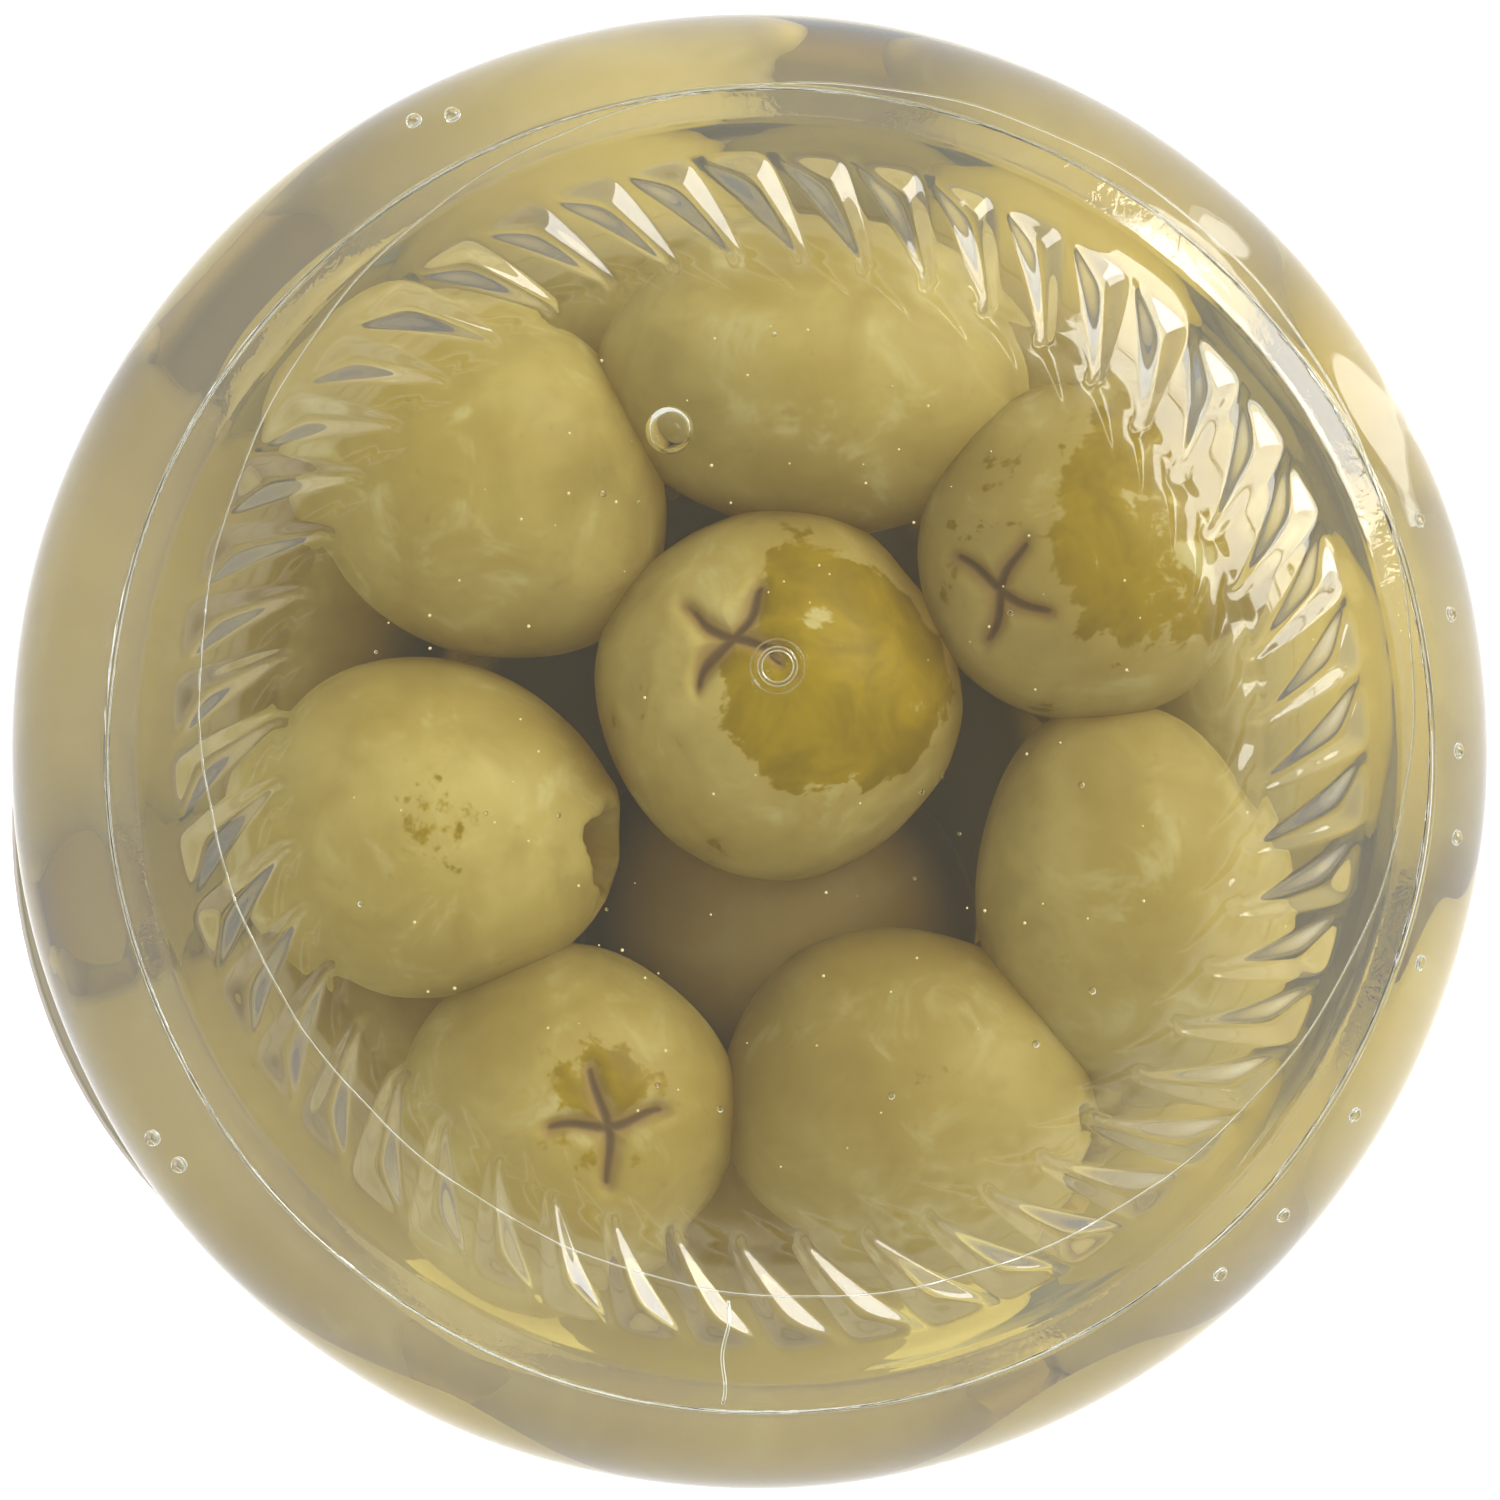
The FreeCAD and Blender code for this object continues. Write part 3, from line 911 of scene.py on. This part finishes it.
def wall_rows():
    """The second ring as rows like those of the bottom layer, each olive lying along the wall."""
    rows = []
    for index, (direction, height, lift, length, width) in enumerate(WALL_RING):
        reach = INNER_RADIUS - width / 2 - 0.1
        angle = math.radians(direction)
        middle = (reach * math.cos(angle), reach * math.sin(angle), height)
        end = (CUT, WHOLE, HOLE)[index % 3]
        turn, brown, mottle = 30 * index, 0.03 * index, 0.5
        rows.append((*middle, direction + 90, lift, length, width, end, turn, brown, mottle))
    return rows


def pack_upper(count):
    """Rows of the upper olives: each is three balls in a line, pushed apart from a seeded start."""
    random = np.random.default_rng(11)
    below = LAYER + wall_rows()
    fixed = np.array([row[:3] for row in below], float)
    lengths = random.uniform(18.0, 22.0, count)
    widths = random.uniform(15.4, 18.0, count)
    height = np.linspace(38, 104, count) + random.uniform(-3, 3, count)
    turn = random.uniform(0, 2 * math.pi, count)
    radius = 24 * np.sqrt(random.uniform(0, 1, count))
    middle = np.column_stack([radius * np.cos(turn), radius * np.sin(turn), height])
    axis = random.normal(size=(count, 3)) * [1, 1, 0.7]
    axis /= np.linalg.norm(axis, axis=1)[:, None]
    all_widths = np.concatenate([widths, [row[6] for row in below]])
    all_reach = np.concatenate([lengths - widths, [row[5] - row[6] for row in below]]) / 2
    fixed_axis = np.array([frame_of(row[3], row[4], 0)[:, 2] for row in below])
    owner = np.repeat(np.arange(count + len(below)), 3)
    spread = np.array([-1.0, 0.0, 1.0])
    for _ in range(SETTLING_STEPS):
        middles = np.concatenate([middle, fixed])
        axes = np.concatenate([axis, fixed_axis])
        balls = (middles[:, None] + axes[:, None] * (all_reach[:, None] * spread)[:, :, None]).reshape(-1, 3)
        radii = np.repeat(all_widths / 2, 3)
        gap = balls[:, None] - balls[None]
        far = np.linalg.norm(gap, axis=2) + 1e-6
        close = radii[:, None] + radii[None] - far
        close[owner[:, None] == owner[None]] = 0
        close = np.maximum(close, 0)
        force = (gap / far[:, :, None] * close[:, :, None]).sum(axis=1) * 0.28
        distance = glass_distance(balls)
        into = np.maximum(radii + 0.15 - distance, 0)
        force += glass_push(balls) * into[:, None] * 0.8
        over = balls[:, 2] + radii
        ball_radius = np.hypot(balls[:, 0], balls[:, 1])
        ceiling = BRINE_LEVEL - 1.5 - np.maximum(ball_radius - 17, 0) * 0.9
        force[:, 2] -= np.maximum(over - ceiling, 0) * 0.6
        force[:, 2] -= 0.02
        force = force.reshape(-1, 3, 3)[:count]
        middle += force.sum(axis=1) * 0.6
        twist = force[:, 2] - force[:, 0]
        axis += twist * 0.05
        axis /= np.linalg.norm(axis, axis=1)[:, None]
    rows = wall_rows()
    for index in range(count):
        x, y, z = axis[index]
        azimuth = math.degrees(math.atan2(y, x))
        lift = math.degrees(math.asin(z))
        end = random.choice([CUT, HOLE, WHOLE, WHOLE])
        rows.append((
            *middle[index], azimuth, lift, lengths[index], widths[index], end,
            random.uniform(0, 90), random.uniform(0, 0.22), random.uniform(0.3, 1.4),
        ))
    return rows


def olive_material():
    made, tree = material("olive_skin")
    where = tree.place()
    cut = tree.attribute("cut")
    brown = tree.attribute("brown")
    mottle = tree.attribute("mottle")
    depth = tree.attribute("depth")
    broad = tree.noise(where, 95.0, 3.0, 0.55, 0.4)
    blotch = tree.noise(where, 260.0, 6.0, 0.62, 0.6)
    fine = tree.noise(where, 1100.0, 3.0, 0.6)
    near = tree.attribute("wet")
    high = tree.step(tree.part(where, "Z"), 0.050, 0.070)
    ragged = (blotch - 0.5) * (mottle * 1.5 + 0.6) + (broad - 0.5) * 0.8 + (fine - 0.5) * 1.0
    wet = tree.step(near + ragged, 0.46, 0.66)
    fog = tree.mix(tree.step(broad, 0.35, 0.65), colour(172, 153, 86), colour(156, 135, 66))
    fog = tree.mix(tree.step(blotch, 0.42, 0.72) * 0.55, fog, colour(142, 122, 58))
    fog = tree.mix(tree.step(0.0 - blotch, -0.46, -0.30) * 0.6, fog, colour(184, 172, 116))
    dark = tree.mix(tree.step(blotch, 0.35, 0.65), colour(146, 121, 12), colour(122, 100, 8))
    golden = tree.mix(broad, colour(176, 150, 26), colour(160, 132, 20))
    inside = tree.mix(tree.step(cut, 0.8, 1.0), colour(136, 110, 60), colour(92, 72, 44))
    skin_colour = tree.mix(wet, fog, dark)
    for share, over in (
        (brown * 0.8, colour(116, 94, 50)),
        (tree.step(fine, 0.62, 0.74) * 0.18, colour(104, 88, 36)),
        (tree.attribute("side") * 0.7, golden),
        # painted shade and brine haze: olives more than 12 to 16 mm from the glass, lower than 50 to 70 mm
        # up, are painted dark grey
        (tree.step(depth, 12.0, 16.0) * 0.9 * (1.0 - high), colour(60, 56, 62)),
        # painted light: the lower sides of olives in the middle of the jar are painted much lighter and
        # yellower, for light the flesh and cloudy brine would scatter into them
        (tree.attribute("under") * 0.95, colour(248, 222, 110)),
        (tree.step(cut + (blotch - 0.5) * 0.5, 0.12, 0.95), inside),
    ):
        skin_colour = tree.mix(share, skin_colour, over)
    bump = tree.bump(fine * 0.08 + blotch, 0.07, 0.0003)
    shader = tree.node("BsdfPrincipled", inputs={
        "Base Color": skin_colour, "Roughness": 0.42, "IOR": 1.45, "Specular IOR Level": 0.12,
        "Normal": bump,
    })
    straight = tree.node("BsdfTransparent", inputs={"Color": (1.0, 0.88, 0.50, 1.0)})
    share = on_its_way(tree) * 0.55                     # the flesh lets some light through
    tree.surface(tree.blend(share, shader, straight))
    return made


def olives(name, rows, across, along, shown_material):
    """One mesh of olives, with what their material needs to know at each point."""
    unit, unit_faces = sphere_grid(across, along)
    points, faces = [], []
    marks = {mark: [] for mark in ("cut", "depth", "wet", "side", "under", "brown", "mottle")}
    for index, row in enumerate(rows):
        x, y, z, azimuth, lift, length, width, end, turn, brown, mottle = row
        shape, cut = olive_shape(unit, length, width, end, 31 * index + len(name))
        placed = shape @ frame_of(azimuth, lift, turn).T + np.array([x, y, z])
        placed = press_on_glass(placed, 0.2)
        faces += [[len(unit) * index + corner for corner in face] for face in unit_faces]
        points.append(placed)
        distance = glass_distance(placed)
        leaning = mottle * (0.30 * (placed[:, 0] - x) - 0.10 * (placed[:, 1] - y) + 0.5)
        from_axis = np.hypot(placed[:, 0], placed[:, 1])
        # painted light: a mask of the lower sides of olives 27 to 80 mm up, away from the axis and clear of
        # the wall near the bottom, which the material paints lighter
        lower_side = smooth_step(-0.4, 0.4, (z - placed[:, 2]) / (width / 2))
        between = smooth_step(27, 30, placed[:, 2]) * (1 - smooth_step(66, 80, placed[:, 2]))
        by_wall = smooth_step(24, 27, from_axis) * (1 - smooth_step(36, 42, placed[:, 2]))
        marks["cut"].append(cut)
        marks["depth"].append(distance)
        marks["wet"].append(1 - smooth_step(0.2, 2.4, distance - leaning))
        marks["side"].append(smooth_step(26.0, 31.0, from_axis))
        marks["under"].append(lower_side * between * smooth_step(14, 17, from_axis) * (1 - by_wall))
        marks["brown"].append(np.full(len(unit), float(brown)))
        marks["mottle"].append(np.full(len(unit), float(mottle)))
    piece = new_mesh(name, np.concatenate(points), faces)
    for mark, values in marks.items():
        layer = piece.data.attributes.new(mark, "FLOAT", "POINT")
        layer.data.foreach_set("value", np.concatenate(values).astype(np.float32))
    piece.data.materials.append(shown_material)
    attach(piece, "root")


# ---- plain materials
# The sprig on the label: millimetres round from its middle, millimetres up, and how a leaf leans.
LABEL_LEAVES = [
    (-13.5, 5.5, 0.5), (-4.5, 8.0, -0.25), (6.0, 7.2, 0.3), (14.5, 3.0, -0.6), (-15.5, -3.0, -0.4),
]
LABEL_OLIVES = [(-7.5, -1.0), (2.5, -4.5), (10.0, -1.5)]


def metal_material():
    made, tree = material("lid_lacquer")
    where = tree.place()
    speck = tree.noise(where, 2500.0, 2.0)
    tree.surface(tree.node("BsdfPrincipled", inputs={
        "Base Color": colour(158, 134, 82), "Metallic": 1.0,
        "Roughness": speck * 0.12 + 0.30, "Coat Weight": 0.4, "Coat Roughness": 0.15,
    }))
    return made


def paper_material():
    """Coated paper with plain fields of colour: a band, stripes, an oval and a few olives on a sprig."""
    made, tree = material("label_paper")
    where = tree.place()
    x, y, z = [tree.part(where, axis) for axis in "XYZ"]
    along = x.math("ARCTAN2", x, 0.0 - y) * BODY_RADIUS        # millimetres round from the middle
    up = z / MM - (LABEL_BOTTOM + LABEL_TOP) / 2
    half = (LABEL_TOP - LABEL_BOTTOM) / 2

    def oval(middle, height, wide, high, lean=0.0):
        """1 inside an oval of those half sizes."""
        across, over = along - middle, up - height
        turned = across * math.cos(lean) + over * math.sin(lean)
        upward = over * math.cos(lean) - across * math.sin(lean)
        far = (turned / wide).power(2.0) + (upward / high).power(2.0)
        return 1.0 - tree.step(far, 0.97, 1.03)

    def band(low, high):
        return tree.step(up, low - 0.08, low + 0.08) * (1.0 - tree.step(up, high - 0.08, high + 0.08))

    white, gold = colour(232, 232, 222), colour(178, 156, 74)
    paint = tree.mix(tree.step(along.absolute(), 52.0, 52.3), white, colour(214, 206, 214))
    for share, over in (
        (band(-half + 2.5, -half + 6.0), colour(84, 138, 130)),
        (band(-half + 7.0, -half + 7.8), gold),
        (band(half - 9.0, half), colour(98, 112, 46)),
        (band(half - 10.6, half - 9.8), gold),
        (oval(0.0, -1.0, 25.0, 15.5), gold),
        (oval(0.0, -1.0, 24.2, 14.7), colour(244, 242, 230)),
    ):
        paint = tree.mix(share, paint, over)
    for middle, height, lean in LABEL_LEAVES:
        paint = tree.mix(oval(middle, height, 6.4, 1.7, lean), paint, colour(92, 116, 62))
    for middle, height in LABEL_OLIVES:
        paint = tree.mix(oval(middle, height, 4.6, 3.8, 0.35), paint, colour(140, 142, 56))
        paint = tree.mix(oval(middle - 1.2, height + 1.3, 1.4, 0.8, 0.35), paint, colour(196, 196, 118))
        paint = tree.mix(oval(middle + 2.6, height - 0.6, 0.9, 1.1, 0.35), paint, colour(178, 70, 44))
    face = tree.node("BsdfPrincipled", inputs={"Base Color": paint, "Roughness": 0.5})
    through = tree.node("BsdfTranslucent", inputs={"Color": colour(240, 236, 222)})
    tree.surface(tree.blend(0.5, face, through))
    return made


def finish_cad_node(node, shown_material):
    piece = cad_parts[node]
    piece.data.materials.clear()
    piece.data.materials.append(shown_material)


# ---- light, floor, camera
# Brightness from straight below, over the horizon, to straight above: what lights the jar, what it mirrors.
FILL_BY_HEIGHT = [(0.0, 0.74), (0.1, 0.74), (0.37, 0.90), (0.5, 0.80), (1.0, 0.90)]
MIRRORED_BY_HEIGHT = [(0.0, 0.16), (0.07, 0.18), (0.14, 0.80), (0.37, 0.90), (0.5, 0.74), (1.0, 0.90)]


def make_world():
    world = bpy.data.worlds.new("studio")
    bpy.context.scene.world = world
    tree = Tree(world)
    where = tree.node("TexCoord")
    split = tree.part(where, "Z")
    height = split * 0.5 + 0.5

    def greys(stops):
        return tree.node("ValToRGB", {"stops": [(at, (share,) * 3) for at, share in stops]}, {"Fac": height})

    fill, mirrored = greys(FILL_BY_HEIGHT), greys(MIRRORED_BY_HEIGHT)
    is_glossy = tree.node("LightPath", output="Is Glossy Ray")
    shown = tree.mix(is_glossy, fill, mirrored)
    background = tree.node("Background", inputs={"Color": shown, "Strength": 1.6})
    out = tree.tree.nodes.new("ShaderNodeOutputWorld")
    tree.tree.links.new(background.output, out.inputs["Surface"])


def make_floor():
    bpy.ops.mesh.primitive_plane_add(size=3.0, location=(0, 0, -0.0002))
    floor = bpy.context.object
    floor.name = "floor"
    made, tree = material("pale_floor")
    back = tree.node("NewGeometry", output="Backfacing")
    clear = tree.node("BsdfTransparent")
    pale = tree.node("BsdfPrincipled", inputs={"Base Color": colour(240, 240, 238), "Roughness": 0.8})
    tree.surface(tree.blend(back, pale, clear))
    floor.data.materials.append(made)
    for kind in ("diffuse", "glossy", "transmission", "shadow", "volume_scatter"):
        setattr(floor, "visible_" + kind, False)


def make_light(name, place, target, size, power):
    light = bpy.data.lights.new(name, "AREA")
    light.shape = "SQUARE"
    light.size = size
    light.energy = power
    holder = bpy.data.objects.new(name, light)
    holder.location = place
    holder.rotation_euler = (Vector(target) - Vector(place)).to_track_quat("-Z", "Y").to_euler()
    bpy.context.scene.collection.objects.link(holder)


def make_camera():
    data = bpy.data.cameras.new("camera")
    data.lens = 744.0
    data.sensor_width = 36.0
    data.clip_start = 0.01
    data.clip_end = 20.0
    camera = bpy.data.objects.new("camera", data)
    camera.location = (0.00006, -0.00004, -1.500)
    camera.rotation_euler = (math.pi, 0, 0)
    bpy.context.scene.collection.objects.link(camera)
    bpy.context.scene.camera = camera


def set_picture():
    scene = bpy.context.scene
    scene.view_settings.view_transform = "Standard"
    scene.cycles.max_bounces = 9
    scene.cycles.diffuse_bounces = 2
    scene.cycles.transmission_bounces = 8
    scene.cycles.transparent_max_bounces = 12
    scene.cycles.glossy_bounces = 6
    scene.cycles.volume_bounces = 0
    scene.cycles.caustics_refractive = False
    scene.cycles.caustics_reflective = False
    scene.cycles.sample_clamp_indirect = 6.0


make_glass()
make_brine()
make_seams()
make_bubbles()
skin_of_olive = olive_material()
olives("olives_bottom", LAYER, 80, 64, skin_of_olive)
olives("olives_upper", pack_upper(UPPER_COUNT), 40, 28, skin_of_olive)
finish_cad_node("lid", metal_material())
finish_cad_node("gasket", plain_material("cream_plastisol", colour(224, 218, 202)))
finish_cad_node("label", paper_material())
make_world()
make_floor()
make_light("key_from_right", (0.42, -0.32, -0.28), (0, 0, 0.01), 0.34, 3.5)
make_camera()
set_picture()
